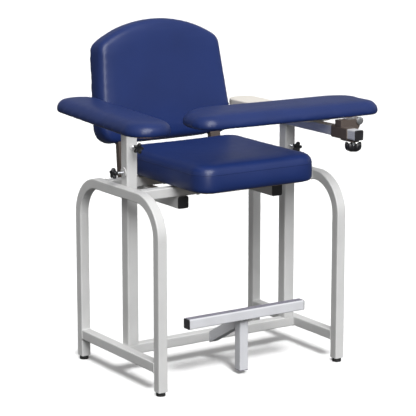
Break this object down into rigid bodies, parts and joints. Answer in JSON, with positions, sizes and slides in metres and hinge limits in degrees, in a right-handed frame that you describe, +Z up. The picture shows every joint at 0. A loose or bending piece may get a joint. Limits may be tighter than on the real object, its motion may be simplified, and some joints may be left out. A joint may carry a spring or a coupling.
{
  "type": "blood draw chair",
  "caption": "Extra-tall blood-draw chair: padded seat and back on a square-tube frame, a padded side arm, a slide bar with a wide flip-up arm pad, and a footrest bar.",
  "frame": {"origin": "on the floor, under the middle of the four legs", "axes": "+Z up, the sitter faces -Y, +X to the sitter's left"},
  "size_m": [0.9178, 0.7593, 1.0809],
  "materials": {
    "frame_paint": "light silver-grey powder coat, satin",
    "footrest_paint": "pale blue-grey powder coat, satin",
    "black_plastic": "black moulded plastic, satin",
    "knob_plastic": "black moulded plastic, semi-matt",
    "tread": "slate anti-slip strip, gritty",
    "glide_rubber": "black rubber",
    "vinyl": "navy blue vinyl-coated fabric over foam, satin",
    "back_cover": "navy vinyl-coated fabric pulled over the board, satin",
    "plywood": "raw birch plywood",
    "dark_steel": "dark brown powder coat, satin",
    "bright_steel": "zinc plated and brushed steel",
    "armrest_laminate": "beige moulded armrest, matt"
  },
  "bodies": {
    "frame": {"left_front_leg": "frame_paint", "left_rear_leg": "frame_paint", "left_hoop": "frame_paint", "left_low_rail": "frame_paint", "left_post": "frame_paint", "left_back_upright": "dark_steel", "right_front_leg": "frame_paint", "right_rear_leg": "frame_paint", "right_hoop": "frame_paint", "right_low_rail": "frame_paint", "right_post": "frame_paint", "right_back_upright": "dark_steel", "front_bosses": "frame_paint", "side_bosses": "frame_paint", "footrest_tread": "tread", "low_cross_rail": "frame_paint", "seat_rail_front": "frame_paint", "seat_rail_rear": "frame_paint", "seat_carrier_left": "frame_paint", "seat_carrier_right": "frame_paint", "carrier_cap_left": "black_plastic", "carrier_cap_right": "black_plastic", "footrest_bar": "footrest_paint", "footrest_cap_left": "black_plastic", "footrest_cap_right": "black_plastic", "footrest_leg": "footrest_paint", "footrest_leg_plug": "black_plastic", "footrest_strut": "footrest_paint", "floor_glides": "glide_rubber", "seat_board": "plywood", "seat_cushion": "vinyl", "seat_bolts": "bright_steel", "back_cushion": "vinyl", "back_board": "back_cover", "back_bolts": "bright_steel"},
    "left_arm": {"left_arm_post": "frame_paint", "left_arm_plate": "frame_paint", "left_arm_pad": "vinyl", "left_arm_pad_board": "plywood", "left_pad_screws": "bright_steel"},
    "right_arm": {"right_arm_post": "frame_paint", "slide_bar": "bright_steel", "slide_bar_front_cap": "black_plastic", "slide_bar_rear_cap": "black_plastic", "fixed_armrest": "armrest_laminate", "armrest_screws": "bright_steel"},
    "slider": {"slider_sleeve": "dark_steel", "clamp_tab": "dark_steel", "hinge_bracket": "dark_steel", "hinge_pin": "bright_steel"},
    "flip_arm": {"hinge_leaf": "bright_steel", "flip_pad": "vinyl", "flip_pad_board": "plywood", "flip_pad_screws": "bright_steel"},
    "left_front_clamp": {"left_front_knob": "knob_plastic"},
    "left_side_clamp": {"left_side_knob": "knob_plastic"},
    "right_front_clamp": {"right_front_knob": "knob_plastic"},
    "right_side_clamp": {"right_side_knob": "knob_plastic"},
    "slider_clamp": {"slider_knob": "knob_plastic"}
  },
  "joints": [
    {"name": "left_arm_height", "type": "slide", "parent": "frame", "child": "left_arm", "axis": [0, 0, 1], "range_m": [0, 0.075]},
    {"name": "right_arm_height", "type": "slide", "parent": "frame", "child": "right_arm", "axis": [0, 0, 1], "range_m": [0, 0.075]},
    {"name": "flip_arm_slide", "type": "slide", "parent": "right_arm", "child": "slider", "axis": [0, 1, 0], "range_m": [-0.02, 0.075]},
    {"name": "flip_arm_flip", "type": "hinge", "parent": "slider", "child": "flip_arm", "pos_m": [0.3525, -0.297, 0.797], "axis": [0, 1, 0], "range_deg": [0, 100]},
    {"name": "left_front_knob_turn", "type": "hinge", "parent": "frame", "child": "left_front_clamp", "pos_m": [-0.2991, -0.05, 0.734], "axis": [0, -1, 0], "range_deg": [0, 300]},
    {"name": "left_side_knob_turn", "type": "hinge", "parent": "frame", "child": "left_side_clamp", "pos_m": [-0.35, 0, 0.653], "axis": [-1, 0, 0], "range_deg": [0, 300]},
    {"name": "right_front_knob_turn", "type": "hinge", "parent": "frame", "child": "right_front_clamp", "pos_m": [0.2991, -0.05, 0.68], "axis": [0, -1, 0], "range_deg": [0, 300]},
    {"name": "right_side_knob_turn", "type": "hinge", "parent": "frame", "child": "right_side_clamp", "pos_m": [0.35, 0, 0.636], "axis": [1, 0, 0], "range_deg": [0, 300]},
    {"name": "slider_knob_turn", "type": "hinge", "parent": "slider", "child": "slider_clamp", "pos_m": [0.2991, -0.352, 0.73], "axis": [0, 0, -1], "range_deg": [0, 300]}
  ]
}
